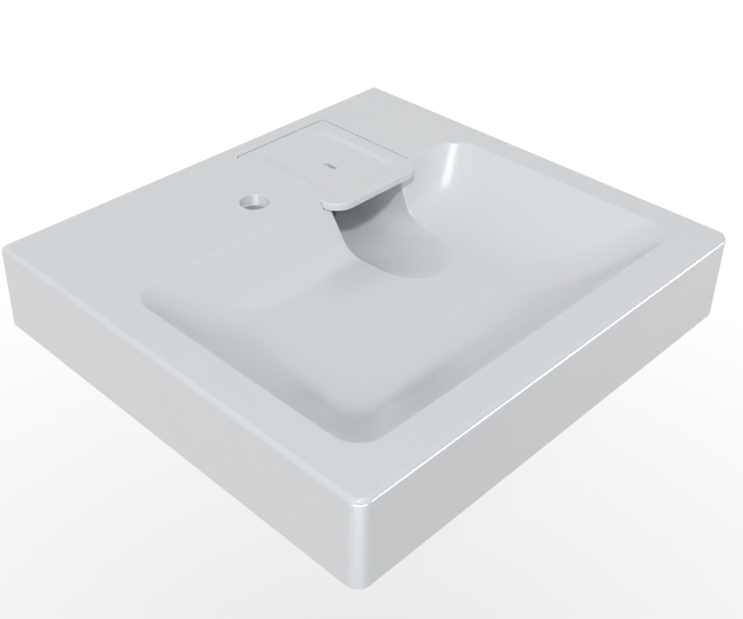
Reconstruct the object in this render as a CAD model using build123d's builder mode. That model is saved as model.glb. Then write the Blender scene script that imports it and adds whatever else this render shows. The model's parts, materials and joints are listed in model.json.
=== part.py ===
from build123d import *
import os
from math import cos, radians, sin, sqrt, tan

os.makedirs("parts", exist_ok=True)

# Washing machine basin: a cast basin with a lift-off drain cover, hung on two steel brackets,
# with its waste fitting and bottle trap. Millimetres.
# Frame: +Z up, +Y into the wall, +X to the user's right. The origin is on the wall,
# at the centre of the four wall fixing holes.

# Basin body, outside
basin_width = 600.0
basin_depth = 550.0
fixing_height = 40.0            # wall fixing line above the basin's lower edge
front_corner_radius = 15.0
top_edge_radius = 6.0
apron_wall = 12.0
hollow_corner_radius = 6.0
bowl_shell = 11.0

# Bowl
margin_left = 45.0
margin_right = 39.0
margin_front = 45.0
deck_depth = 173.0              # wall to the bowl's back rim
bowl_depth = 67.0
side_lean = 45.0                # left, right and front walls, from the vertical
side_radius = 130.0
back_lean = 28.0
back_radius = 35.0
floor_fall_right = 1.0          # degrees, towards the scoop
floor_fall_back = 1.5
bowl_corners = (32.0, 40.0, 45.0, 30.0)     # front left, front right, back right, back left
corner_growth = 0.15            # corner radius gained for each millimetre that a wall comes in
rim_radius = 4.5

# Scoop that leads from the bowl to the waste, under the drain cover
waste_x = 92.5
waste_to_wall = 80.0
scoop_width = 121.0             # at the rim
scoop_lean = 5.0                # scoop's walls, from the vertical
scoop_turn_radius = 28.0        # between the scoop's walls and its floor
scoop_drop = 15.5               # bowl's floor to the scoop's floor
scoop_reach = 138.0             # deck edge to the scoop's round front, on the bowl's floor
scoop_front_run = 95.0          # from there back to the scoop's flat floor
scoop_front_slope = 9.0         # where the front leaves the bowl's floor
scoop_nose = 0.97               # roundness of the scoop's front, 1 for a half circle
scoop_back_corner = 24.0
scoop_edge_radius = 2.5

# Waste fitting
gasket_thickness = 2.0
flange_sheet = 1.5
flange_width = 9.0
cup_radius = 21.5
cup_depth = 11.0
cup_gap = 1.5                   # round the cup, in the basin's waste hole
gasket_gap = 1.0
seat_gap = 3.0                  # round the flange, in its seat
seat_recess = 3.5
waste_pad_thickness = 11.0
waste_pad_margin = 6.0
skirt_drop = 8.0                # pad under the waste to the basin's lower edge
grate_hole_radius = 3.0
grate_hole_circle = 13.0
grate_holes = 8
screw_radius = 3.0
screw_head_radius = 6.0
screw_head_height = 3.0
screw_slot = 1.2
hub_wall = 3.0
hub_length = 10.0
spoke_width = 3.0
spokes = 3
waste_body_flange = 36.0
waste_body_lip = 4.0
tail_radius = 22.0
tail_wall = 3.0
tail_length = 32.0              # gasket under the basin to the tail's end

# Tap hole
tap_hole_radius = 17.5
tap_hole_x = -36.0
tap_hole_to_wall = 121.0
tap_hole_edge = 0.6

# Drain cover
cover_ledge_left = 10.0         # what the cover rests on, beside the scoop's rim
cover_ledge_right = 20.0
cover_back_ledge = 12.0
cover_overhang = 27.0           # past the deck's edge, over the bowl
cover_thickness = 9.0
cover_to_wall = 22.0
cover_gap = 1.0
cover_front_radius = 26.0
cover_back_radius = 3.0
cover_edge_radius = 2.0
recess_floor = 4.5              # deck left below the cover's recess
dish_margin = 20.0
dish_depth = 3.0
dish_slope_run = 6.0
dish_corner = 13.0
dish_blend = 4.5
slot_length = 20.0
slot_width = 7.0
slot_forward = 5.0              # slot's centre ahead of the cover's centre
slot_aside = 3.0                # and to the left of it
slot_edge = 1.2
pad_radius = 4.0
pad_height = 1.5
pad_from_rim = 11.0

# Wall brackets
bracket_steel = 4.0
plate_height = 82.0
plate_rise = 3.0                # plate's centre above the fixing line
plate_margin = 8.0
wall_hole_radius = 4.5
wall_hole_spacing = 54.0
wall_hole_inset = 6.0           # holes inside the plate's centre line, clear of the arm's web
arm_height = 34.0
arm_top = 15.0
arm_past_bolt = 30.0
arm_nose = 60.0
notch_clearance = 2.0
back_bolt_to_wall = 90.0
front_bolt_setback = 150.0      # basin's front to the front pair of basin bolts
bolt_radius = 4.0
bolt_slot_play = 0.5
bolt_slot_travel = 9.0
bolt_head_wall = 2.5
bolt_head_height = 5.3
bolt_end_gap = 1.0
washer_wall = 4.5
washer_thickness = 1.6
insert_wall = 1.5
insert_length = 16.0
boss_wall = 7.5
bracket_pad_thickness = 3.0
pad_hole_gap = 1.0
thread_clearance = 0.1
washer_play = 0.2

# Trap
seal_thickness = 3.0
collar_thickness = 2.0
collar_inset = 0.5
pipe_radius = 16.0
pipe_wall = 2.0
nut_wall = 5.0
nut_lip = 3.0
nut_grips = 12
grip_depth = 1.2
nut_gap = 5.0                   # between the two nuts above the bottle
nut_to_body = 2.0
fit_gap = 0.35                  # between rounded plastic pieces that screw or slide together
tail_nut_height = 20.0
port_wall = 5.0
neck_wall = 5.5
neck_nut_height = 18.0
bottle_radius = 32.0
bottle_wall = 3.0
bottle_height = 76.0
outlet_nut_height = 22.0
outlet_past_wall = 35.0
stop_bead_height = 1.0          # bead behind the rosette that stops the pipe in the wall's socket
stop_bead_width = 2.0
rosette_radius = 34.0
rosette_depth = 10.0
hose_spigot_radius = 10.5
hose_spigot_wall = 2.5
hose_port_wall = 3.5
hose_nut_height = 14.0
hose_spigot_reach = 38.0        # past the port's seal
hose_root_step = 1.0            # spigot is this much thicker where it passes through its nut
hose_root_length = 6.5
hose_lead_in = 1.0
cup_skirt = 14.0
trap_cup_depth = 12.0
cup_wall = 3.5
cup_ribs = 12
dip_above_end = 2.0             # dip tube's end above the bottle's end

# Derived sizes
scoop_depth = bowl_depth + scoop_drop
scoop_bend = scoop_depth - scoop_turn_radius * (1 - sin(radians(scoop_lean)))
scoop_to_wall = cover_to_wall + cover_back_ledge
basin_height = scoop_depth + seat_recess + waste_pad_thickness + skirt_drop
deck_thickness = cover_thickness + pad_height + recess_floor
waste_hole_radius = cup_radius + cup_gap
gasket_inner = waste_hole_radius + gasket_gap
flange_radius = gasket_inner + flange_width
seat_radius = flange_radius + seat_gap
waste_pad_radius = waste_body_flange + waste_pad_margin
hub_radius = screw_radius + hub_wall
tail_bore = tail_radius - tail_wall
cover_width = scoop_width + cover_ledge_left + cover_ledge_right
cover_length = deck_depth - cover_to_wall + cover_overhang
insert_radius = bolt_radius + insert_wall
boss_radius = insert_radius + boss_wall
washer_radius = bolt_radius + washer_wall
bolt_head_across = 2 * (bolt_radius + bolt_head_wall)
bolt_slot_width = 2 * (bolt_radius + bolt_slot_play)
bolt_slot_length = bolt_slot_width + bolt_slot_travel
arm_width = 2 * boss_radius + bracket_steel
plate_width = arm_width + 2 * plate_margin
pipe_bore = pipe_radius - pipe_wall
neck_radius = pipe_radius + neck_wall
outlet_port_radius = pipe_radius + port_wall
hose_port_radius = hose_spigot_radius + hose_port_wall
hose_spigot_bore = hose_spigot_radius - hose_spigot_wall
hose_root_radius = hose_spigot_radius + hose_root_step
neck_drop = nut_gap + 2 * nut_lip + seal_thickness
neck_length = neck_nut_height - nut_lip - seal_thickness + nut_to_body
outlet_drop = outlet_port_radius + bottle_wall
outlet_port_reach = bottle_radius + outlet_nut_height + nut_to_body
hose_port_reach = bottle_radius + hose_nut_height + nut_to_body

# Derived levels and places
base_z = -fixing_height
rim_z = basin_height - fixing_height
deck_underside = rim_z - deck_thickness
rim_left = -basin_width / 2 + margin_left
rim_right = basin_width / 2 - margin_right
rim_front = -basin_depth + margin_front
rim_back = -deck_depth
waste_y = -waste_to_wall
scoop_floor = rim_z - scoop_depth
seat_z = scoop_floor - seat_recess
waste_pad_z = seat_z - waste_pad_thickness
recess_z = rim_z - cover_thickness - pad_height
cover_back = -cover_to_wall
cover_front = cover_back - cover_length
cover_x = waste_x + (cover_ledge_right - cover_ledge_left) / 2
cover_y = (cover_front + cover_back) / 2
boss_z = arm_top + bracket_pad_thickness
bracket_x = basin_width / 2 - apron_wall - notch_clearance - plate_width / 2
wall_hole_x = bracket_x - wall_hole_inset
bolt_x = bracket_x - bracket_steel / 2
bolt_rows = (-back_bolt_to_wall, front_bolt_setback - basin_depth)
bolt_places = [(side * bolt_x, row) for side in (-1, 1) for row in bolt_rows]
arm_reach = basin_depth - front_bolt_setback + arm_past_bolt
waste_axis = Axis((waste_x, waste_y, 0), (0, 0, 1))
waste_section = Plane(origin=(waste_x, waste_y, 0), x_dir=(1, 0, 0), z_dir=(0, -1, 0))


def wall_inset(depth, floor_depth, lean, radius):
    # How far a wall has come in at a depth: straight, then an arc that ends on the floor.
    bend = floor_depth - radius * (1 - sin(radians(lean)))
    if depth <= bend:
        return depth * tan(radians(lean))
    rise = floor_depth - depth
    floor_edge = bend * tan(radians(lean)) + radius * cos(radians(lean))
    return floor_edge - sqrt(max(radius**2 - (radius - rise) ** 2, 0))


def rounded_outline(plane, west, east, south, north, radii):
    # A rectangle with its own radius at each corner: south-west, south-east, north-east, north-west.
    # A radius is limited by the room that its sides leave.
    room = 0.49 * min(east - west, north - south)
    with BuildSketch(plane) as outline:
        with BuildLine():
            corners = ((west, south), (east, south), (east, north), (west, north))
            FilletPolyline(*corners, radius=[min(radius, room) for radius in radii], close=True)
        make_face()
    return outline.sketch


def bowl_level(depth, grow, drop):
    # The bowl's outline at a depth below the rim, tilted little by little towards the scoop.
    share = depth / bowl_depth
    slope_x = tan(radians(floor_fall_right)) * share
    slope_y = tan(radians(floor_fall_back)) * share
    pivot_y = rim_back - 2 * back_radius
    side = wall_inset(depth, bowl_depth, side_lean, side_radius)
    rear = wall_inset(depth, bowl_depth, back_lean, back_radius)
    return rounded_outline(
        Plane(
            origin=(waste_x, pivot_y, rim_z - depth - drop),
            x_dir=(1, 0, -slope_x),
            z_dir=(slope_x, slope_y, 1),
        ),
        rim_left + side - grow - waste_x,
        rim_right - side + grow - waste_x,
        rim_front + side - grow - pivot_y,
        rim_back - rear + grow - pivot_y,
        [radius + corner_growth * side + grow for radius in bowl_corners],
    )


def bowl_depths():
    # Levels of the loft: along the straight part of the side walls, then each 5 degrees of the arc.
    bend = bowl_depth - side_radius * (1 - sin(radians(side_lean)))
    straight = [bend * step / 3 for step in range(3)]
    turn = 90 - side_lean
    angles = [turn * (1 - step / 9) for step in range(10)]
    return straight + [bowl_depth - side_radius * (1 - cos(radians(angle))) for angle in angles]


def scoop_front_depth(step):
    # Depth of the scoop's front. At step 0 it leaves the bowl's floor at its slope, at step 1 it has
    # run out level on the scoop's floor, and below 0 it goes on upwards in the open bowl.
    start = bowl_depth - tan(radians(floor_fall_back)) * (scoop_reach - 2 * back_radius)
    slope = scoop_front_run * tan(radians(scoop_front_slope))
    if step < 0:
        rise = start - slope / 2 - scoop_bend
        return start + slope * step - rise * (2 * step) ** 2
    fall = scoop_depth - start
    return start + slope * (step**3 - 2 * step**2 + step) + fall * (3 * step**2 - 2 * step**3)


def scoop_level(depth, step, grow, drop):
    # The scoop's outline at a depth below the rim, with its front at a step of its run.
    side = wall_inset(depth, scoop_depth, scoop_lean, scoop_turn_radius)
    half = scoop_width / 2 - side
    nose = scoop_nose * half + grow
    tail = scoop_back_corner - side / 2 + grow
    return rounded_outline(
        Plane((waste_x, 0, rim_z - depth - drop)),
        -half - grow,
        half + grow,
        rim_back - scoop_reach + scoop_front_run * step - grow,
        -scoop_to_wall - side + grow,
        (nose, nose, tail, tail),
    )


def on_scoop_mouth(edge):
    # True for the edges where the scoop's walls meet the bowl's.
    middle = Vertex(*(edge @ 0.5))
    return all(tool.part.distance_to(middle) < 0.01 for tool in (bowl_space, scoop_space))


def cover_outline(plane, grow):
    return rounded_outline(
        plane,
        -cover_width / 2 - grow,
        cover_width / 2 + grow,
        cover_front - grow,
        cover_back + grow,
        (cover_front_radius, cover_front_radius, cover_back_radius + grow, cover_back_radius + grow),
    )


def turn(plane, points, axis):
    # Revolves a closed profile, drawn beside the plane's own Y axis, into the piece in hand.
    with BuildSketch(plane) as profile:
        with BuildLine():
            Polyline(*points, close=True)
        make_face()
    revolve(profile.sketch, axis=axis)


# Tools that shape the basin body
with BuildPart() as bowl_space:
    loft([bowl_level(depth, 0, 0) for depth in bowl_depths()])

with BuildPart() as bowl_outside:
    wall_share = 1 / cos(radians(side_lean)) - tan(radians(side_lean))
    loft([bowl_level(depth, wall_share * bowl_shell, bowl_shell) for depth in bowl_depths()])

scoop_steps = [step / 10 for step in range(-7, 11)]
scoop_lower_rim = scoop_front_depth(scoop_steps[0])

with BuildPart() as scoop_space:
    loft([scoop_level(scoop_front_depth(step), step, 0, 0) for step in scoop_steps])
    loft([scoop_level(depth, scoop_steps[0], 0, 0) for depth in (scoop_lower_rim, 0)], ruled=True)

with BuildPart() as scoop_outside:
    loft([scoop_level(scoop_front_depth(step), step, bowl_shell, bowl_shell) for step in scoop_steps])
    upper_depths = (scoop_lower_rim, 0)
    loft([scoop_level(depth, scoop_steps[0], bowl_shell, bowl_shell) for depth in upper_depths], ruled=True)

with BuildPart() as underside_space:
    inner_width = basin_width - 2 * apron_wall
    inner_depth = basin_depth - 2 * apron_wall
    with BuildSketch(Plane((0, -basin_depth / 2, base_z))):
        Rectangle(inner_width, inner_depth)
    extrude(amount=deck_underside - base_z)
    fillet(underside_space.edges().filter_by(Axis.Z), hollow_corner_radius)
    add(bowl_outside.part, mode=Mode.SUBTRACT)
    add(scoop_outside.part, mode=Mode.SUBTRACT)
    with BuildSketch(Plane((waste_x, waste_y, waste_pad_z))):
        Circle(waste_pad_radius)
    extrude(amount=deck_underside - waste_pad_z, mode=Mode.SUBTRACT)
    with BuildSketch(Plane.XY.offset(boss_z)):
        with Locations(*bolt_places):
            Circle(boss_radius)
    extrude(amount=deck_underside - boss_z, mode=Mode.SUBTRACT)

# Basin body
with BuildPart() as basin_body:
    with BuildSketch(Plane((0, -basin_depth / 2, base_z))):
        Rectangle(basin_width, basin_depth)
    extrude(amount=basin_height)
    fillet(basin_body.edges().filter_by(Axis.Z).group_by(Axis.Y)[0], front_corner_radius)
    add(bowl_space.part, mode=Mode.SUBTRACT)
    deck = basin_body.faces().filter_by(Axis.Z).sort_by(Axis.Z)[-1]
    fillet(deck.inner_wires()[0].edges(), rim_radius)
    deck = basin_body.faces().filter_by(Axis.Z).sort_by(Axis.Z)[-1]
    fillet(deck.outer_wire().edges().filter_by(lambda edge: edge.center().Y < -1), top_edge_radius)
    add(underside_space.part, mode=Mode.SUBTRACT)
    add(scoop_space.part, mode=Mode.SUBTRACT)
    with BuildSketch(Plane((cover_x, 0, recess_z))):
        with BuildLine():
            recess_half = cover_width / 2 + cover_gap
            recess_back = cover_back + cover_gap
            recess_front = rim_back - rim_radius - cover_thickness
            FilletPolyline(
                (-recess_half, recess_front),
                (-recess_half, recess_back),
                (recess_half, recess_back),
                (recess_half, recess_front),
                radius=cover_back_radius + cover_gap,
            )
            Line((recess_half, recess_front), (-recess_half, recess_front))
        make_face()
    extrude(amount=rim_z - recess_z, mode=Mode.SUBTRACT)
    with BuildSketch(Plane((waste_x, waste_y, seat_z))):
        Circle(seat_radius)
    extrude(amount=recess_z - seat_z, mode=Mode.SUBTRACT)
    with BuildSketch(Plane((waste_x, waste_y, waste_pad_z))):
        Circle(waste_hole_radius)
    extrude(amount=recess_z - waste_pad_z, mode=Mode.SUBTRACT)
    with BuildSketch(Plane((tap_hole_x, -tap_hole_to_wall, deck_underside - bowl_shell))):
        Circle(tap_hole_radius)
    extrude(amount=deck_thickness + bowl_shell, mode=Mode.SUBTRACT)
    with BuildSketch(Plane.XY.offset(boss_z)):
        with Locations(*bolt_places):
            Circle(insert_radius)
    extrude(amount=insert_length, mode=Mode.SUBTRACT)
    notch_width = plate_width + 2 * notch_clearance
    with BuildSketch(Plane((0, 0, base_z)).rotated((90, 0, 0))):
        for side in (-1, 1):
            with Locations((side * bracket_x, (deck_underside - base_z) / 2)):
                Rectangle(notch_width, deck_underside - base_z)
    extrude(amount=apron_wall, both=True, mode=Mode.SUBTRACT)
    tap_rim = basin_body.edges().filter_by(GeomType.CIRCLE).group_by(Axis.Z)[-1]
    tap_rim = tap_rim.filter_by(lambda edge: edge.radius == tap_hole_radius)
    fillet(tap_rim, tap_hole_edge)
    fillet(basin_body.edges().filter_by(on_scoop_mouth), scoop_edge_radius)

basin_body.part.label = "basin_body"
export_step(basin_body.part, "parts/basin_body.step")

# Drain cover: a flat cast plate with a shallow dish and a drain slot
with BuildPart() as drain_cover:
    add(cover_outline(Plane((cover_x, 0, rim_z - cover_thickness)), 0))
    extrude(amount=cover_thickness)
    fillet(drain_cover.faces().sort_by(Axis.Z)[-1].edges(), cover_edge_radius)
    dish_top = rounded_outline(
        Plane((cover_x, cover_y, rim_z)),
        dish_margin - cover_width / 2,
        cover_width / 2 - dish_margin,
        dish_margin - cover_length / 2,
        cover_length / 2 - dish_margin,
        (dish_corner,) * 4,
    )
    dish_floor = rounded_outline(
        Plane((cover_x, cover_y, rim_z - dish_depth)),
        dish_margin + dish_slope_run - cover_width / 2,
        cover_width / 2 - dish_margin - dish_slope_run,
        dish_margin + dish_slope_run - cover_length / 2,
        cover_length / 2 - dish_margin - dish_slope_run,
        (dish_corner,) * 4,
    )
    loft([dish_top, dish_floor], ruled=True, mode=Mode.SUBTRACT)
    dish_face = drain_cover.faces().filter_by(Axis.Z).filter_by_position(
        Axis.Z, rim_z - dish_depth - 0.01, rim_z - dish_depth + 0.01
    )[0]
    fillet(dish_face.outer_wire().edges(), dish_blend)
    top_face = drain_cover.faces().filter_by(Axis.Z).sort_by(Axis.Z)[-1]
    fillet(top_face.inner_wires()[0].edges(), dish_blend)
    slot_place = (cover_x - slot_aside, cover_y - slot_forward, rim_z - cover_thickness)
    with BuildSketch(Plane(slot_place)):
        SlotOverall(slot_length, slot_width, rotation=90)
    extrude(amount=cover_thickness, mode=Mode.SUBTRACT)
    dish_face = drain_cover.faces().filter_by(Axis.Z).filter_by_position(
        Axis.Z, rim_z - dish_depth - 0.01, rim_z - dish_depth + 0.01
    )[0]
    fillet(dish_face.inner_wires()[0].edges(), slot_edge)

drain_cover.part.label = "drain_cover"
export_step(drain_cover.part, "parts/drain_cover.step")

# Soft pads stuck under the cover, one near each corner of its seat
with BuildPart() as cover_pads:
    pad_columns = (-(scoop_width + cover_ledge_left) / 2, (scoop_width + cover_ledge_right) / 2)
    pad_rows = (rim_back + pad_from_rim + pad_radius, cover_back - cover_back_ledge / 2)
    with BuildSketch(Plane((waste_x, 0, recess_z))):
        with Locations(*[(column, row) for column in pad_columns for row in pad_rows]):
            Circle(pad_radius)
    extrude(amount=pad_height)

cover_pads.part.label = "cover_pads"
export_step(cover_pads.part, "parts/cover_pads.step")

# Threaded inserts cast into the bosses, open downwards
with BuildPart() as basin_inserts:
    with BuildSketch(Plane.XY.offset(boss_z)):
        with Locations(*bolt_places):
            Circle(insert_radius)
            Circle(bolt_radius + thread_clearance, mode=Mode.SUBTRACT)
    extrude(amount=insert_length)

basin_inserts.part.label = "basin_inserts"
export_step(basin_inserts.part, "parts/basin_inserts.step")

# Wall brackets: a welded wall plate and angle arm with slots for the basin bolts
with BuildPart() as right_bracket:
    with BuildSketch(Plane.XZ):
        with Locations((bracket_x, plate_rise)):
            RectangleRounded(plate_width, plate_height, bracket_steel)
        with Locations((wall_hole_x, -wall_hole_spacing / 2), (wall_hole_x, wall_hole_spacing / 2)):
            Circle(wall_hole_radius, mode=Mode.SUBTRACT)
    extrude(amount=bracket_steel)
    flange_left = bracket_x - arm_width / 2
    flange_right = bracket_x + arm_width / 2
    with BuildSketch(Plane.XY.offset(arm_top - bracket_steel)):
        with BuildLine():
            Polyline(
                (flange_left, 0),
                (flange_right, 0),
                (flange_right, -arm_reach),
                (flange_left + arm_width / 3, -arm_reach),
                (flange_left, -arm_reach + arm_width / 3),
                close=True,
            )
        make_face()
        with Locations(*[(bolt_x, row) for row in bolt_rows]):
            SlotOverall(bolt_slot_length, bolt_slot_width, rotation=90, mode=Mode.SUBTRACT)
    extrude(amount=bracket_steel)
    web_low = arm_top - arm_height
    with BuildSketch(Plane.YZ.offset(flange_right - bracket_steel)):
        with BuildLine():
            Polyline(
                (0, web_low),
                (-arm_reach + arm_nose, web_low),
                (-arm_reach, arm_top - arm_height / 2),
                (-arm_reach, arm_top),
                (0, arm_top),
                close=True,
            )
        make_face()
    extrude(amount=bracket_steel)

right_bracket.part.label = "right_bracket"
export_step(right_bracket.part, "parts/right_bracket.step")

with BuildPart() as left_bracket:
    mirror(right_bracket.part, about=Plane.YZ)

left_bracket.part.label = "left_bracket"
export_step(left_bracket.part, "parts/left_bracket.step")

# Rubber pads between the bracket arms and the basin's bosses
with BuildPart() as bracket_pads:
    with BuildSketch(Plane.XY.offset(arm_top)):
        with Locations(*bolt_places):
            Circle(boss_radius)
            Circle(bolt_radius + pad_hole_gap, mode=Mode.SUBTRACT)
    extrude(amount=bracket_pad_thickness)

bracket_pads.part.label = "bracket_pads"
export_step(bracket_pads.part, "parts/bracket_pads.step")

# Bolts that hold the basin down on its brackets, with their washers
arm_underside = arm_top - bracket_steel
with BuildPart() as bolt_washers:
    with BuildSketch(Plane.XY.offset(arm_underside - washer_thickness)):
        with Locations(*bolt_places):
            Circle(washer_radius)
            Circle(bolt_radius + washer_play, mode=Mode.SUBTRACT)
    extrude(amount=washer_thickness)

bolt_washers.part.label = "bolt_washers"
export_step(bolt_washers.part, "parts/bolt_washers.step")

with BuildPart() as basin_bolts:
    head_z = arm_underside - washer_thickness
    with BuildSketch(Plane.XY.offset(head_z - bolt_head_height)):
        with Locations(*bolt_places):
            RegularPolygon(bolt_head_across / 2, 6, major_radius=False)
    extrude(amount=bolt_head_height)
    with BuildSketch(Plane.XY.offset(head_z)):
        with Locations(*bolt_places):
            Circle(bolt_radius)
    extrude(amount=boss_z + insert_length - bolt_end_gap - head_z)

basin_bolts.part.label = "basin_bolts"
export_step(basin_bolts.part, "parts/basin_bolts.step")

# Waste fitting, from the top down
flange_z = seat_z + gasket_thickness
flange_top = flange_z + flange_sheet
cup_floor = flange_top - cup_depth

with BuildPart() as waste_flange_gasket:
    with BuildSketch(Plane((waste_x, waste_y, seat_z))):
        Circle(flange_radius)
        Circle(gasket_inner, mode=Mode.SUBTRACT)
    extrude(amount=gasket_thickness)

waste_flange_gasket.part.label = "waste_flange_gasket"
export_step(waste_flange_gasket.part, "parts/waste_flange_gasket.step")

with BuildPart() as waste_flange:
    turn(
        waste_section,
        (
            (0, cup_floor - flange_sheet),
            (cup_radius - flange_sheet, cup_floor - flange_sheet),
            (cup_radius, cup_floor),
            (cup_radius, flange_z),
            (flange_radius, flange_z),
            (flange_radius, flange_z + flange_sheet / 2),
            (flange_radius - flange_sheet, flange_top),
            (cup_radius, flange_top),
            (cup_radius - flange_sheet, flange_z),
            (cup_radius - flange_sheet, cup_floor),
            (0, cup_floor),
        ),
        waste_axis,
    )
    with BuildSketch(Plane((waste_x, waste_y, cup_floor - flange_sheet))):
        with PolarLocations(grate_hole_circle, grate_holes):
            Circle(grate_hole_radius)
        Circle(screw_radius + washer_play)
    extrude(amount=flange_sheet, mode=Mode.SUBTRACT)

waste_flange.part.label = "waste_flange"
export_step(waste_flange.part, "parts/waste_flange.step")

body_top = waste_pad_z - gasket_thickness
with BuildPart() as waste_body_gasket:
    with BuildSketch(Plane((waste_x, waste_y, body_top))):
        Circle(waste_body_flange)
        Circle(gasket_inner, mode=Mode.SUBTRACT)
    extrude(amount=gasket_thickness)

waste_body_gasket.part.label = "waste_body_gasket"
export_step(waste_body_gasket.part, "parts/waste_body_gasket.step")

tail_end = body_top - tail_length
hub_top = body_top - waste_body_lip
with BuildPart() as waste_body:
    neck = tail_radius + waste_body_lip
    turn(
        waste_section,
        (
            (gasket_inner, body_top),
            (waste_body_flange, body_top),
            (waste_body_flange, body_top - waste_body_lip),
            (neck, body_top - waste_body_lip),
            (tail_radius, body_top - 3 * waste_body_lip),
            (tail_radius, tail_end),
            (tail_bore, tail_end),
            (tail_bore, body_top - 2 * waste_body_lip),
            (waste_hole_radius, body_top - waste_body_lip),
        ),
        waste_axis,
    )
    with BuildSketch(Plane((waste_x, waste_y, hub_top - hub_length))):
        Circle(hub_radius)
        with PolarLocations(0, spokes):
            Rectangle(tail_bore + tail_wall / 2, spoke_width, align=(Align.MIN, Align.CENTER))
        Circle(screw_radius + thread_clearance, mode=Mode.SUBTRACT)
    extrude(amount=hub_length)

waste_body.part.label = "waste_body"
export_step(waste_body.part, "parts/waste_body.step")

with BuildPart() as waste_screw:
    with BuildSketch(Plane((waste_x, waste_y, cup_floor))):
        Circle(screw_head_radius)
    extrude(amount=screw_head_height)
    fillet(waste_screw.faces().sort_by(Axis.Z)[-1].edges(), screw_head_height / 3)
    with BuildSketch(Plane((waste_x, waste_y, cup_floor + screw_head_height / 2))):
        Rectangle(2 * screw_head_radius, screw_slot)
    extrude(amount=screw_head_height, mode=Mode.SUBTRACT)
    with BuildSketch(Plane((waste_x, waste_y, cup_floor))):
        Circle(screw_radius)
    extrude(amount=-(cup_floor - hub_top + hub_length))

waste_screw.part.label = "waste_screw"
export_step(waste_screw.part, "parts/waste_screw.step")

# Joint under the waste tail: washer, dip tube collar and nut
collar_radius = tail_radius - collar_inset
tail_seal_z = tail_end - seal_thickness
collar_z = tail_seal_z - collar_thickness
bottle_neck_top = collar_z - neck_drop
shoulder_z = bottle_neck_top - neck_length
bottle_end = shoulder_z - bottle_height
dip_end = bottle_end + dip_above_end


def union_nut(plane, thread_radius, seat, height, lip_radius, axis):
    # A round nut: seat is the level of its lip's inner face, and its skirt goes up the thread.
    outer = thread_radius + nut_wall
    turn(
        plane,
        (
            (lip_radius, seat - nut_lip),
            (outer - grip_depth, seat - nut_lip),
            (outer, seat - nut_lip + grip_depth),
            (outer, seat + height - nut_lip),
            (thread_radius + thread_clearance, seat + height - nut_lip),
            (thread_radius + thread_clearance, seat),
            (lip_radius, seat),
        ),
        axis,
    )


with BuildPart() as tail_washer:
    with BuildSketch(Plane((waste_x, waste_y, tail_seal_z))):
        Circle(collar_radius)
        Circle(pipe_bore, mode=Mode.SUBTRACT)
    extrude(amount=seal_thickness)

tail_washer.part.label = "tail_washer"
export_step(tail_washer.part, "parts/tail_washer.step")

with BuildPart() as dip_tube:
    turn(
        waste_section,
        (
            (pipe_bore, tail_seal_z),
            (collar_radius, tail_seal_z),
            (collar_radius, collar_z),
            (pipe_radius, collar_z),
            (pipe_radius, dip_end),
            (pipe_bore, dip_end),
        ),
        waste_axis,
    )

dip_tube.part.label = "dip_tube"
export_step(dip_tube.part, "parts/dip_tube.step")

with BuildPart() as tail_nut:
    union_nut(waste_section, tail_radius, collar_z, tail_nut_height, pipe_radius + fit_gap, waste_axis)
    with BuildSketch(Plane((waste_x, waste_y, collar_z - nut_lip))):
        with PolarLocations(tail_radius + nut_wall + grip_depth, nut_grips):
            Circle(2 * grip_depth)
    extrude(amount=tail_nut_height, mode=Mode.SUBTRACT)

tail_nut.part.label = "tail_nut"
export_step(tail_nut.part, "parts/tail_nut.step")

# Bottle's neck joint: cone seal and nut round the dip tube
with BuildPart() as neck_seal:
    turn(
        waste_section,
        (
            (pipe_radius + thread_clearance, bottle_neck_top),
            (neck_radius, bottle_neck_top),
            (neck_radius - collar_inset, bottle_neck_top + seal_thickness),
            (pipe_radius + thread_clearance, bottle_neck_top + seal_thickness),
        ),
        waste_axis,
    )

neck_seal.part.label = "neck_seal"
export_step(neck_seal.part, "parts/neck_seal.step")

neck_section = Plane(
    origin=(waste_x, waste_y, bottle_neck_top + seal_thickness), x_dir=(1, 0, 0), z_dir=(0, 1, 0)
)
with BuildPart() as neck_nut:
    union_nut(neck_section, neck_radius, 0, neck_nut_height, pipe_radius + fit_gap, waste_axis)
    with BuildSketch(Plane((waste_x, waste_y, bottle_neck_top + seal_thickness + nut_lip))):
        with PolarLocations(neck_radius + nut_wall + grip_depth, nut_grips):
            Circle(2 * grip_depth)
    extrude(amount=-neck_nut_height, mode=Mode.SUBTRACT)

neck_nut.part.label = "neck_nut"
export_step(neck_nut.part, "parts/neck_nut.step")

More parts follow.
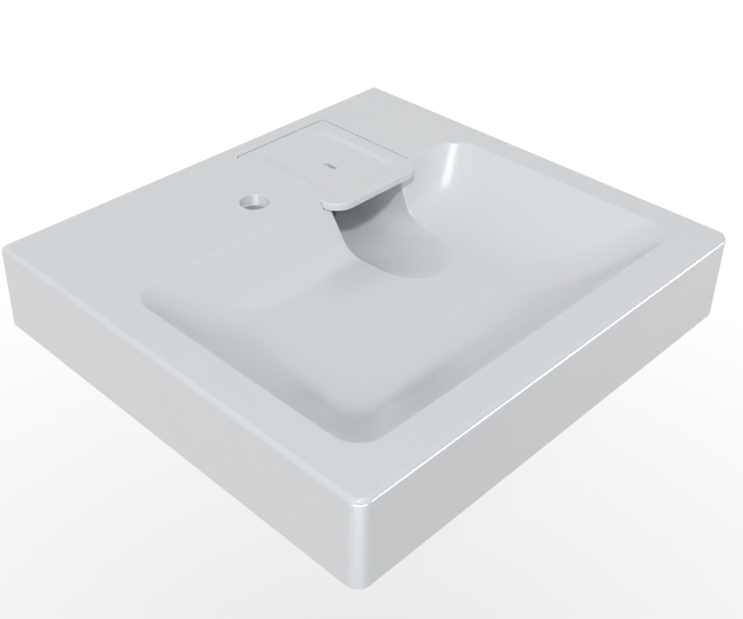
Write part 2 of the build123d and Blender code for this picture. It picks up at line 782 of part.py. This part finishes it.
# Bottle of the trap, with its outlet port towards the wall and its hose port to the left
outlet_z = shoulder_z - outlet_drop
outlet_section = Plane(origin=(waste_x, waste_y, outlet_z), x_dir=(1, 0, 0), z_dir=(0, 0, 1))
outlet_axis = Axis((waste_x, waste_y, outlet_z), (0, 1, 0))
hose_axis = Axis((waste_x, waste_y, outlet_z), (-1, 0, 0))
with BuildPart() as trap_body:
    with BuildSketch(Plane((waste_x, waste_y, bottle_end))):
        Circle(bottle_radius)
    extrude(amount=bottle_height)
    fillet(trap_body.faces().sort_by(Axis.Z)[-1].edges(), 2 * bottle_wall)
    with BuildSketch(Plane((waste_x, waste_y, shoulder_z))):
        Circle(neck_radius)
    extrude(amount=neck_length)
    with BuildSketch(Plane.XZ.offset(waste_to_wall)):
        with Locations((waste_x, outlet_z)):
            Circle(outlet_port_radius)
    extrude(amount=-outlet_port_reach)
    with BuildSketch(Plane.YZ.offset(waste_x)):
        with Locations((waste_y, outlet_z)):
            Circle(hose_port_radius)
    extrude(amount=-hose_port_reach)
    with BuildSketch(Plane((waste_x, waste_y, bottle_end))):
        Circle(bottle_radius - bottle_wall)
    extrude(amount=bottle_height - bottle_wall, mode=Mode.SUBTRACT)
    with BuildSketch(Plane((waste_x, waste_y, shoulder_z - 2 * bottle_wall))):
        Circle(pipe_radius + fit_gap)
    extrude(amount=neck_length + 3 * bottle_wall, mode=Mode.SUBTRACT)
    with BuildSketch(Plane.XZ.offset(waste_to_wall - pipe_radius)):
        with Locations((waste_x, outlet_z)):
            Circle(pipe_radius + fit_gap)
    extrude(amount=-outlet_port_reach, mode=Mode.SUBTRACT)
    with BuildSketch(Plane.YZ.offset(waste_x - bottle_radius + 2 * bottle_wall)):
        with Locations((waste_y, outlet_z)):
            Circle(hose_spigot_bore)
    extrude(amount=-hose_port_reach, mode=Mode.SUBTRACT)

trap_body.part.label = "trap_body"
export_step(trap_body.part, "parts/trap_body.step")

# Cup that screws on below the bottle for cleaning, with its seal
cup_inner = bottle_radius + fit_gap
cup_outer = cup_inner + cup_wall
seal_z = bottle_end - seal_thickness
cup_end = seal_z - trap_cup_depth
with BuildPart() as trap_cup_seal:
    with BuildSketch(Plane((waste_x, waste_y, seal_z))):
        Circle(bottle_radius)
        Circle(bottle_radius - bottle_wall, mode=Mode.SUBTRACT)
    extrude(amount=seal_thickness)

trap_cup_seal.part.label = "trap_cup_seal"
export_step(trap_cup_seal.part, "parts/trap_cup_seal.step")

with BuildPart() as trap_cup:
    turn(
        waste_section,
        (
            (0, cup_end),
            (bottle_radius - 3 * bottle_wall, cup_end),
            (bottle_radius, cup_end + 2 * bottle_wall),
            (cup_outer, seal_z - bottle_wall),
            (cup_outer, bottle_end + cup_skirt),
            (cup_inner, bottle_end + cup_skirt),
            (cup_inner, seal_z),
            (bottle_radius - bottle_wall, seal_z),
            (bottle_radius - bottle_wall, cup_end + 3 * bottle_wall),
            (bottle_radius - 3 * bottle_wall, cup_end + bottle_wall),
            (0, cup_end + bottle_wall),
        ),
        waste_axis,
    )
    with BuildSketch(Plane((waste_x, waste_y, seal_z - bottle_wall))):
        with PolarLocations(cup_outer, cup_ribs):
            Circle(2 * grip_depth)
        Circle(cup_outer - grip_depth, mode=Mode.SUBTRACT)
    extrude(amount=bottle_wall + seal_thickness + cup_skirt - grip_depth)

trap_cup.part.label = "trap_cup"
export_step(trap_cup.part, "parts/trap_cup.step")

# Outlet to the wall: seal, nut, pipe and rosette, all along +Y from the bottle
outlet_seat = outlet_port_reach + seal_thickness
with BuildPart() as outlet_seal:
    turn(
        outlet_section,
        (
            (pipe_radius + thread_clearance, outlet_port_reach),
            (outlet_port_radius, outlet_port_reach),
            (outlet_port_radius - collar_inset, outlet_seat),
            (pipe_radius + thread_clearance, outlet_seat),
        ),
        outlet_axis,
    )

outlet_seal.part.label = "outlet_seal"
export_step(outlet_seal.part, "parts/outlet_seal.step")

with BuildPart() as outlet_nut:
    nut_section = Plane(
        origin=(waste_x, waste_y + outlet_seat, outlet_z), x_dir=(1, 0, 0), z_dir=(0, 0, -1)
    )
    union_nut(nut_section, outlet_port_radius, 0, outlet_nut_height, pipe_radius + fit_gap, outlet_axis)
    with BuildSketch(Plane.XZ.offset(waste_to_wall - outlet_seat - nut_lip)):
        with Locations((waste_x, outlet_z)):
            with PolarLocations(outlet_port_radius + nut_wall + grip_depth, nut_grips):
                Circle(2 * grip_depth)
    extrude(amount=outlet_nut_height, mode=Mode.SUBTRACT)

outlet_nut.part.label = "outlet_nut"
export_step(outlet_nut.part, "parts/outlet_nut.step")

with BuildPart() as outlet_pipe:
    pipe_start = waste_to_wall - bottle_radius - bottle_wall
    with BuildSketch(Plane.XZ.offset(pipe_start)):
        with Locations((waste_x, outlet_z)):
            Circle(pipe_radius)
    extrude(amount=-(pipe_start + outlet_past_wall))
    with BuildSketch(Plane.XZ):
        with Locations((waste_x, outlet_z)):
            Circle(pipe_radius + stop_bead_height)
    extrude(amount=stop_bead_width)
    with BuildSketch(Plane.XZ.offset(pipe_start)):
        with Locations((waste_x, outlet_z)):
            Circle(pipe_bore)
    extrude(amount=-(pipe_start + outlet_past_wall), mode=Mode.SUBTRACT)

outlet_pipe.part.label = "outlet_pipe"
export_step(outlet_pipe.part, "parts/outlet_pipe.step")

with BuildPart() as wall_rosette:
    turn(
        outlet_section,
        (
            (pipe_radius + fit_gap, waste_to_wall - rosette_depth),
            (pipe_radius + 2 * flange_sheet, waste_to_wall - rosette_depth),
            (rosette_radius - 4 * flange_sheet, waste_to_wall - rosette_depth / 2),
            (rosette_radius, waste_to_wall),
            (rosette_radius - flange_sheet, waste_to_wall),
            (rosette_radius - 5 * flange_sheet, waste_to_wall - rosette_depth / 2 + flange_sheet),
            (pipe_radius + 2 * flange_sheet, waste_to_wall - rosette_depth + flange_sheet),
            (pipe_radius + fit_gap, waste_to_wall - rosette_depth + flange_sheet),
        ),
        outlet_axis,
    )

wall_rosette.part.label = "wall_rosette"
export_step(wall_rosette.part, "parts/wall_rosette.step")

# Hose connection for the washing machine's drain hose, all along -X from the bottle
hose_seat = hose_port_reach + gasket_thickness
with BuildPart() as hose_seal:
    with BuildSketch(Plane.YZ.offset(waste_x - hose_port_reach)):
        with Locations((waste_y, outlet_z)):
            Circle(hose_port_radius)
            Circle(hose_spigot_bore, mode=Mode.SUBTRACT)
    extrude(amount=-gasket_thickness)

hose_seal.part.label = "hose_seal"
export_step(hose_seal.part, "parts/hose_seal.step")

with BuildPart() as hose_spigot:
    with BuildSketch(Plane.YZ.offset(waste_x - hose_seat)):
        with Locations((waste_y, outlet_z)):
            Circle(hose_port_radius)
            Circle(hose_spigot_bore, mode=Mode.SUBTRACT)
    extrude(amount=-collar_thickness)
    with BuildSketch(Plane.YZ.offset(waste_x - hose_seat)):
        with Locations((waste_y, outlet_z)):
            Circle(hose_root_radius)
            Circle(hose_spigot_bore, mode=Mode.SUBTRACT)
    extrude(amount=-hose_root_length)
    with BuildSketch(Plane.YZ.offset(waste_x - hose_seat)):
        with Locations((waste_y, outlet_z)):
            Circle(hose_spigot_radius)
            Circle(hose_spigot_bore, mode=Mode.SUBTRACT)
    extrude(amount=-hose_spigot_reach)
    mouth = hose_spigot.faces().sort_by(Axis.X)[0]
    chamfer(mouth.outer_wire().edges(), hose_lead_in)

hose_spigot.part.label = "hose_spigot"
export_step(hose_spigot.part, "parts/hose_spigot.step")

with BuildPart() as hose_nut:
    hose_lip = waste_x - hose_seat - collar_thickness
    nut_section = Plane(origin=(hose_lip, waste_y, outlet_z), x_dir=(0, 1, 0), z_dir=(0, 0, -1))
    union_nut(
        nut_section, hose_port_radius, 0, hose_nut_height, hose_root_radius + fit_gap, hose_axis
    )
    with BuildSketch(Plane.YZ.offset(hose_lip - nut_lip)):
        with Locations((waste_y, outlet_z)):
            with PolarLocations(hose_port_radius + nut_wall + grip_depth, nut_grips):
                Circle(2 * grip_depth)
    extrude(amount=hose_nut_height, mode=Mode.SUBTRACT)

hose_nut.part.label = "hose_nut"
export_step(hose_nut.part, "parts/hose_nut.step")
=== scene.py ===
# %% [markdown]
# # A basin that hangs over a washing machine
# The real object is a low, wide basin cast in one piece from mineral-filled resin, with a
# glossy white gel coat. Its waste is pushed to the back under a lift-off cover, so that the
# trap clears the machine. The solids come in finished from the CAD model, in metres, with the
# origin on the wall between the four bracket holes. What is left to do here is what Blender is
# good at: a camera, light, and a finish for every surface.

# %% Load the solids
import json
import math

import bpy
from mathutils import Matrix, Vector

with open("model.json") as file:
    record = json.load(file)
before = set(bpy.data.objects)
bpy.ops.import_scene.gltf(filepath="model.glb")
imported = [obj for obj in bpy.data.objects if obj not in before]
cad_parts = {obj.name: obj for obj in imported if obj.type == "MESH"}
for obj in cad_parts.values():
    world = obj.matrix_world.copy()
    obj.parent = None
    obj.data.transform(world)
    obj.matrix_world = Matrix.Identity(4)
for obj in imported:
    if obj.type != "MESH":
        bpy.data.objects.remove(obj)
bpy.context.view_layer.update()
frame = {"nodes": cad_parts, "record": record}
nodes = frame["nodes"]

# %% [markdown]
# ## The camera
# The photograph looks down at the basin's front left corner. Three angles in degrees say how the
# camera was turned, and one point in metres where it stood. They were found by fitting the outer
# corners of the basin, so they are kept as numbers, and the camera's axes are worked out from the
# angles. A tracking constraint could aim the camera instead, but it can't hold the small roll.

# %% Camera
azimuth = math.radians(-44.924)
elevation = math.radians(32.098)
roll = math.radians(0.289)
camera_place = Vector((-0.7998, -1.0201, 0.7572))

back = Vector((
    math.sin(azimuth) * math.cos(elevation),
    -math.cos(azimuth) * math.cos(elevation),
    math.sin(elevation),
))
level = Vector((math.cos(azimuth), math.sin(azimuth), 0.0))
upright = back.cross(level)
right = level * math.cos(roll) + upright * math.sin(roll)
up = back.cross(right)

lens = bpy.data.cameras.new("photo_lens")
lens.sensor_width = 36.0
lens.lens = 56.34
lens.shift_x = 0.05
lens.shift_y = -0.10
lens.clip_end = 60.0
camera = bpy.data.objects.new("photo_camera", lens)
camera.matrix_world = Matrix.Translation(camera_place) @ Matrix((right, up, back)).transposed().to_4x4()
bpy.context.scene.collection.objects.link(camera)
bpy.context.scene.camera = camera
print("camera at", [round(v, 3) for v in camera.location], "lens", lens.lens, "mm")

# %% [markdown]
# ## Shader maths as Python
# A finish is a small sum, such as a base roughness plus some noise times its weight. Wiring that
# by hand hides the sum among the nodes. One small class wraps a node's output and overloads the
# operators, so the sum can be written as Python. Every other node comes from one method of the
# finish.

# %% Wrapped sockets
class Wire:
    """An output socket that can be added, multiplied and divided."""

    def __init__(self, finish, socket):
        self.finish = finish
        self.socket = socket

    def combine(self, operation, first, second):
        return self.finish.node("ShaderNodeMath", {"operation": operation}, {0: first, 1: second})

    def __add__(self, other):
        return self.combine("ADD", self, other)

    def __radd__(self, other):
        return self.combine("ADD", other, self)

    def __mul__(self, other):
        return self.combine("MULTIPLY", self, other)

    def __truediv__(self, other):
        return self.combine("DIVIDE", self, other)


class Finish:
    """A node tree that is filled in one node at a time."""

    def __init__(self, tree):
        self.tree = tree
        tree.nodes.clear()

    def node(self, kind, settings=None, sockets=None, output=0):
        made = self.tree.nodes.new(kind)
        for name, value in (settings or {}).items():
            if name == "stops":
                self.fill_ramp(made.color_ramp, value)
            else:
                setattr(made, name, value)
        for name, value in (sockets or {}).items():
            if isinstance(value, Wire):
                self.tree.links.new(value.socket, made.inputs[name])
            else:
                made.inputs[name].default_value = value
        return Wire(self, made.outputs[output]) if made.outputs else made

    def fill_ramp(self, ramp, stops):
        while len(ramp.elements) < len(stops):
            ramp.elements.new(1.0)
        for element, (place, grey) in zip(ramp.elements, stops):
            element.position = place
            element.color = (grey, grey, grey, 1.0)


# %% [markdown]
# Noise gives a finish its unevenness. It is laid on the object's own coordinates, which are
# metres here, so a scale of 40 means patches about 25 mm wide. Object coordinates also travel
# with a piece that moves, such as the cover.

# %% Noise, colour mixing and bump
def noise(finish, scale, detail, stretch=(1.0, 1.0, 1.0)):
    place = finish.node("ShaderNodeTexCoord", output="Object")
    spread = finish.node("ShaderNodeMapping", None, {"Vector": place, "Scale": stretch})
    return finish.node("ShaderNodeTexNoise", None, {"Vector": spread, "Scale": scale, "Detail": detail})


def blend_colours(finish, share, first, second):
    return finish.node(
        "ShaderNodeMix",
        {"data_type": "RGBA"},
        {"Factor": share, 6: (*first, 1.0), 7: (*second, 1.0)},
        output=2,
    )


def bump(finish, height, depth, strength):
    return finish.node(
        "ShaderNodeBump", None, {"Height": height, "Distance": depth, "Strength": strength}
    )


def new_finish(name):
    material = bpy.data.materials.new(name)
    material.use_nodes = True
    return material, Finish(material.node_tree)


def close_finish(finish, sockets):
    shader = finish.node("ShaderNodeBsdfPrincipled", None, sockets)
    finish.node("ShaderNodeOutputMaterial", None, {"Surface": shader})


finishes = {}

# %% [markdown]
# ## The white gel coat
# Gel coat is sprayed into a polished mould, so the basin is glossy but never a perfect mirror:
# the resin shrinks a little as it cures and the surface keeps a slow ripple, with a finer orange
# peel on top. The colour is a cool white with hardly any drift. A flat white would look like
# plastic film, so the gloss varies a little as well, as it does where a surface is wiped.

# %% Gel coat
material, gel = new_finish("white_gel_coat")
drift = noise(gel, 3.0, 3.0)
wiped = noise(gel, 9.0, 4.0, (1.0, 1.0, 2.5))
ripple = noise(gel, 16.0, 1.0)
peel = noise(gel, 420.0, 2.0)
close_finish(gel, {
    "Base Color": blend_colours(gel, drift, (0.784, 0.797, 0.811), (0.812, 0.822, 0.832)),
    "Roughness": wiped * 0.08 + 0.21,
    "IOR": 1.5,
    "Coat Weight": 0.25,
    "Coat Roughness": 0.12,
    "Normal": bump(gel, ripple + peel * 0.04, 0.0006, 0.6),
})
finishes["glazed_cast"] = material
print("finish:", material.name)

# %% [markdown]
# ## Rubber
# The cover stands on four soft grey pads, and black seals close every joint of the waste. Both
# are matt, with a fine moulded grain, and black rubber picks up pale dust.

# %% Rubber finishes
def make_rubber(name, dark, pale, roughness):
    material, rubber = new_finish(name)
    dust = noise(rubber, 90.0, 4.0)
    grain = noise(rubber, 1500.0, 2.0)
    close_finish(rubber, {
        "Base Color": blend_colours(rubber, dust, dark, pale),
        "Roughness": dust * 0.15 + roughness,
        "Normal": bump(rubber, grain, 0.0001, 0.5),
    })
    print("finish:", name)
    return material


finishes["soft_rubber"] = make_rubber(
    "grey_pad_rubber",
    dark=(0.30, 0.31, 0.32),
    pale=(0.38, 0.39, 0.40),
    roughness=0.55,
)
finishes["black_rubber"] = make_rubber(
    "black_seal_rubber",
    dark=(0.012, 0.012, 0.013),
    pale=(0.035, 0.035, 0.036),
    roughness=0.50,
)

# %% [markdown]
# ## Powder coat
# The brackets are cut and welded steel with a light grey powder coat. Powder melts into small
# round domes, so it wants a coarser bump than paint, and a satin gloss.

# %% Powder coat
material, powder = new_finish("grey_powder_coat")
domes = noise(powder, 900.0, 1.0)
shade = noise(powder, 14.0, 3.0)
close_finish(powder, {
    "Base Color": blend_colours(powder, shade, (0.66, 0.67, 0.68), (0.74, 0.75, 0.76)),
    "Roughness": domes * 0.12 + 0.36,
    "Normal": bump(powder, domes, 0.00015, 0.6),
})
finishes["bracket_paint"] = material
print("finish:", material.name)

# %% [markdown]
# ## Metals
# Zinc plate is dull and patchy. Pressed stainless sheet keeps the fine lines of its rolling, so
# its noise is stretched along one axis. Turned brass has rings, but so fine that a little noise
# in the gloss is enough.

# %% Metal finishes
def make_metal(name, dark, pale, roughness, scale, stretch=(1.0, 1.0, 1.0)):
    material, metal = new_finish(name)
    patches = noise(metal, scale, 4.0, stretch)
    scratches = noise(metal, scale * 8.0, 2.0, stretch)
    close_finish(metal, {
        "Base Color": blend_colours(metal, patches, dark, pale),
        "Metallic": 1.0,
        "Roughness": roughness + patches * 0.12 + scratches * 0.08,
        "Normal": bump(metal, scratches, 0.00005, 0.4),
    })
    print("finish:", name)
    return material


finishes["zinc_steel"] = make_metal(
    "zinc_plated_steel",
    dark=(0.50, 0.51, 0.53),
    pale=(0.64, 0.65, 0.66),
    roughness=0.28,
    scale=120.0,
)
finishes["stainless"] = make_metal(
    "pressed_stainless",
    dark=(0.52, 0.53, 0.54),
    pale=(0.62, 0.63, 0.64),
    roughness=0.16,
    scale=60.0,
    stretch=(1.0, 14.0, 1.0),
)
finishes["insert_brass"] = make_metal(
    "turned_brass",
    dark=(0.62, 0.43, 0.17),
    pale=(0.74, 0.54, 0.25),
    roughness=0.24,
    scale=80.0,
)

# %% [markdown]
# ## Moulded plastic
# The trap is injection moulded. The pipes and the bottle come out of a polished mould, and the
# nuts out of a matt one, so that wet hands can turn them. Both are a slightly warmer white than
# the basin, which is how they look beside it.

# %% Plastic finishes
def make_plastic(name, dark, pale, roughness, grain_depth):
    material, plastic = new_finish(name)
    cloud = noise(plastic, 22.0, 3.0)
    grain = noise(plastic, 1100.0, 2.0)
    close_finish(plastic, {
        "Base Color": blend_colours(plastic, cloud, dark, pale),
        "Roughness": cloud * 0.10 + roughness,
        "IOR": 1.49,
        "Normal": bump(plastic, grain + cloud * 0.5, grain_depth, 0.6),
    })
    print("finish:", name)
    return material


finishes["white_plastic"] = make_plastic(
    "polished_plastic",
    dark=(0.74, 0.74, 0.73),
    pale=(0.79, 0.79, 0.78),
    roughness=0.22,
    grain_depth=0.00008,
)
finishes["nut_plastic"] = make_plastic(
    "matt_plastic",
    dark=(0.67, 0.67, 0.665),
    pale=(0.72, 0.72, 0.715),
    roughness=0.42,
    grain_depth=0.0002,
)

# %% [markdown]
# ## Give each solid its finish
# The record says which finish every solid takes, so one loop covers the whole object. The meshes
# themselves stay as the CAD model made them.

# %% Dress the solids
slot_of = {part["node"]: part["material_slot"] for part in frame["record"]["subparts"]}
for name, solid in nodes.items():
    for slot in solid.material_slots:
        slot.material = finishes[slot_of[name]]
print("dressed:", len(slot_of), "solids in", len(set(slot_of.values())), "finishes")

# %% [markdown]
# ## Floor and background
# The floor lies 0.85 m below the wall holes, so no hard shadow lies right under the basin. The
# photograph was cut out on white that greys a little towards the bottom. The floor shows that
# grey to the camera by itself, from the distance to the basin, and a small share of the light and
# shadow that really fall on it. From below it lets the camera through, so that the underside can
# be looked at.

# %% Floor
floor_level = -0.85
floor_reach = 20.0
floor_corners = [
    (-floor_reach, -floor_reach, floor_level),
    (floor_reach, -floor_reach, floor_level),
    (floor_reach, floor_reach, floor_level),
    (-floor_reach, floor_reach, floor_level),
]
floor_mesh = bpy.data.meshes.new("floor")
floor_mesh.from_pydata(floor_corners, [], [(0, 1, 2, 3)])
floor = bpy.data.objects.new("floor", floor_mesh)
bpy.context.scene.collection.objects.link(floor)

basin_middle = (0.0, -0.275, 0.0)
ramp_length = 2.0
grey_stops = [(0.0, 0.775), (0.25, 0.86), (0.75, 1.0)]
floor_glow = 1.075
floor_colour = (0.62, 0.62, 0.62, 1.0)
glow_share = 0.9

material, ground = new_finish("pale_floor")
place = ground.node("ShaderNodeNewGeometry", output="Position")
flat = ground.node(
    "ShaderNodeVectorMath", {"operation": "MULTIPLY"}, {0: place, 1: (1.0, 1.0, 0.0)}
)
far = ground.node(
    "ShaderNodeVectorMath", {"operation": "DISTANCE"}, {0: flat, 1: basin_middle}, output="Value"
)
grey = ground.node("ShaderNodeValToRGB", {"stops": grey_stops}, {"Fac": far / ramp_length})
shown = ground.node("ShaderNodeEmission", None, {"Color": grey, "Strength": floor_glow})
lit = ground.node("ShaderNodeBsdfDiffuse", None, {"Color": floor_colour})
rays = ground.node("ShaderNodeLightPath", output="Is Camera Ray")
glossy = ground.node("ShaderNodeLightPath", output="Is Glossy Ray")
clear = ground.node("ShaderNodeLightPath", output="Is Transmission Ray")
floor_shader = ground.node(
    "ShaderNodeMixShader", None, {0: (rays + glossy + clear) * glow_share, 1: lit, 2: shown}
)
below = ground.node("ShaderNodeNewGeometry", output="Backfacing")
open_shader = ground.node("ShaderNodeBsdfTransparent")
both = ground.node("ShaderNodeMixShader", None, {0: below, 1: floor_shader, 2: open_shader})
ground.node("ShaderNodeOutputMaterial", None, {"Surface": both})
floor_mesh.materials.append(material)
print("floor at", floor_level)

# %% [markdown]
# ## Light
# A white thing is read from its shades, so the light needs a direction, and must still be soft
# enough that no edge goes black. The sky gives an even base. The key box stands far behind the
# camera and 45 degrees up, so it lights the deck evenly from front to back. It looks small from
# there, so the shadow of the cover's lip inside the scoop keeps an edge. A wide box lifts the
# left side. Three more are only mirrored: they draw the bright line along the front rim, the
# streak in the bowl's back right corner and the pale strip on the front left corner.

# %% Sky
world = bpy.data.worlds.new("studio")
bpy.context.scene.world = world
world.use_nodes = True
sky = Finish(world.node_tree)
seen = (
    sky.node("ShaderNodeLightPath", output="Is Camera Ray")
    + sky.node("ShaderNodeLightPath", output="Is Glossy Ray")
    + sky.node("ShaderNodeLightPath", output="Is Transmission Ray")
)
ambient = sky.node("ShaderNodeBackground", None, {"Color": (0.96, 0.98, 1.0, 1.0), "Strength": 0.487})
white = sky.node("ShaderNodeBackground", None, {"Color": (1.0, 1.0, 1.0, 1.0), "Strength": 1.0})
mixed = sky.node("ShaderNodeMixShader", None, {0: seen, 1: ambient, 2: white})
sky.node("ShaderNodeOutputWorld", None, {"Surface": mixed})
print("sky ready")


# %% Soft boxes
def soft_box(name, place, aim, width, height, power, colour=(1.0, 1.0, 1.0), mirrored_only=False):
    lamp = bpy.data.lights.new(name, "AREA")
    lamp.shape = "RECTANGLE"
    lamp.size = width
    lamp.size_y = height
    lamp.energy = power
    lamp.color = colour
    box = bpy.data.objects.new(name, lamp)
    box.location = place
    box.rotation_euler = (Vector(aim) - Vector(place)).to_track_quat("-Z", "Y").to_euler()
    box.visible_diffuse = not mirrored_only
    box.visible_camera = False
    bpy.context.scene.collection.objects.link(box)
    print("soft box:", name, power, "W")


scoop_place = (0.1, -0.18, 0.0)
left_side = (-0.3, -0.3, 0.0)
soft_box("key_box", (-3.15, -2.91, 4.24), scoop_place, width=0.40, height=0.40, power=115.0)
soft_box("left_box", (-4.80, -0.54, 2.14), left_side, width=2.4, height=2.4, power=26.0)

cool = (0.92, 0.96, 1.0)
front_rim = (0.0, -0.55, 0.06)
bowl_corner = (0.2, -0.2, 0.04)
front_corner = (-0.3, -0.55, 0.0)
soft_box(
    "rim_box", (1.30, -2.20, -0.50), front_rim,
    width=1.6, height=0.66, power=45.0, colour=cool, mirrored_only=True,
)
soft_box(
    "corner_box", (-0.24, -0.91, 2.07), bowl_corner,
    width=0.5, height=0.5, power=6.5, colour=cool, mirrored_only=True,
)
soft_box(
    "strip_box", (-1.02, -1.27, -0.50), front_corner,
    width=2.0, height=0.6, power=28.0, colour=cool, mirrored_only=True,
)

# %% [markdown]
# ## Close the scene
# The view transform stays Standard, so that a colour comes out as it is written.

# %% Finish
bpy.context.scene.view_settings.view_transform = "Standard"
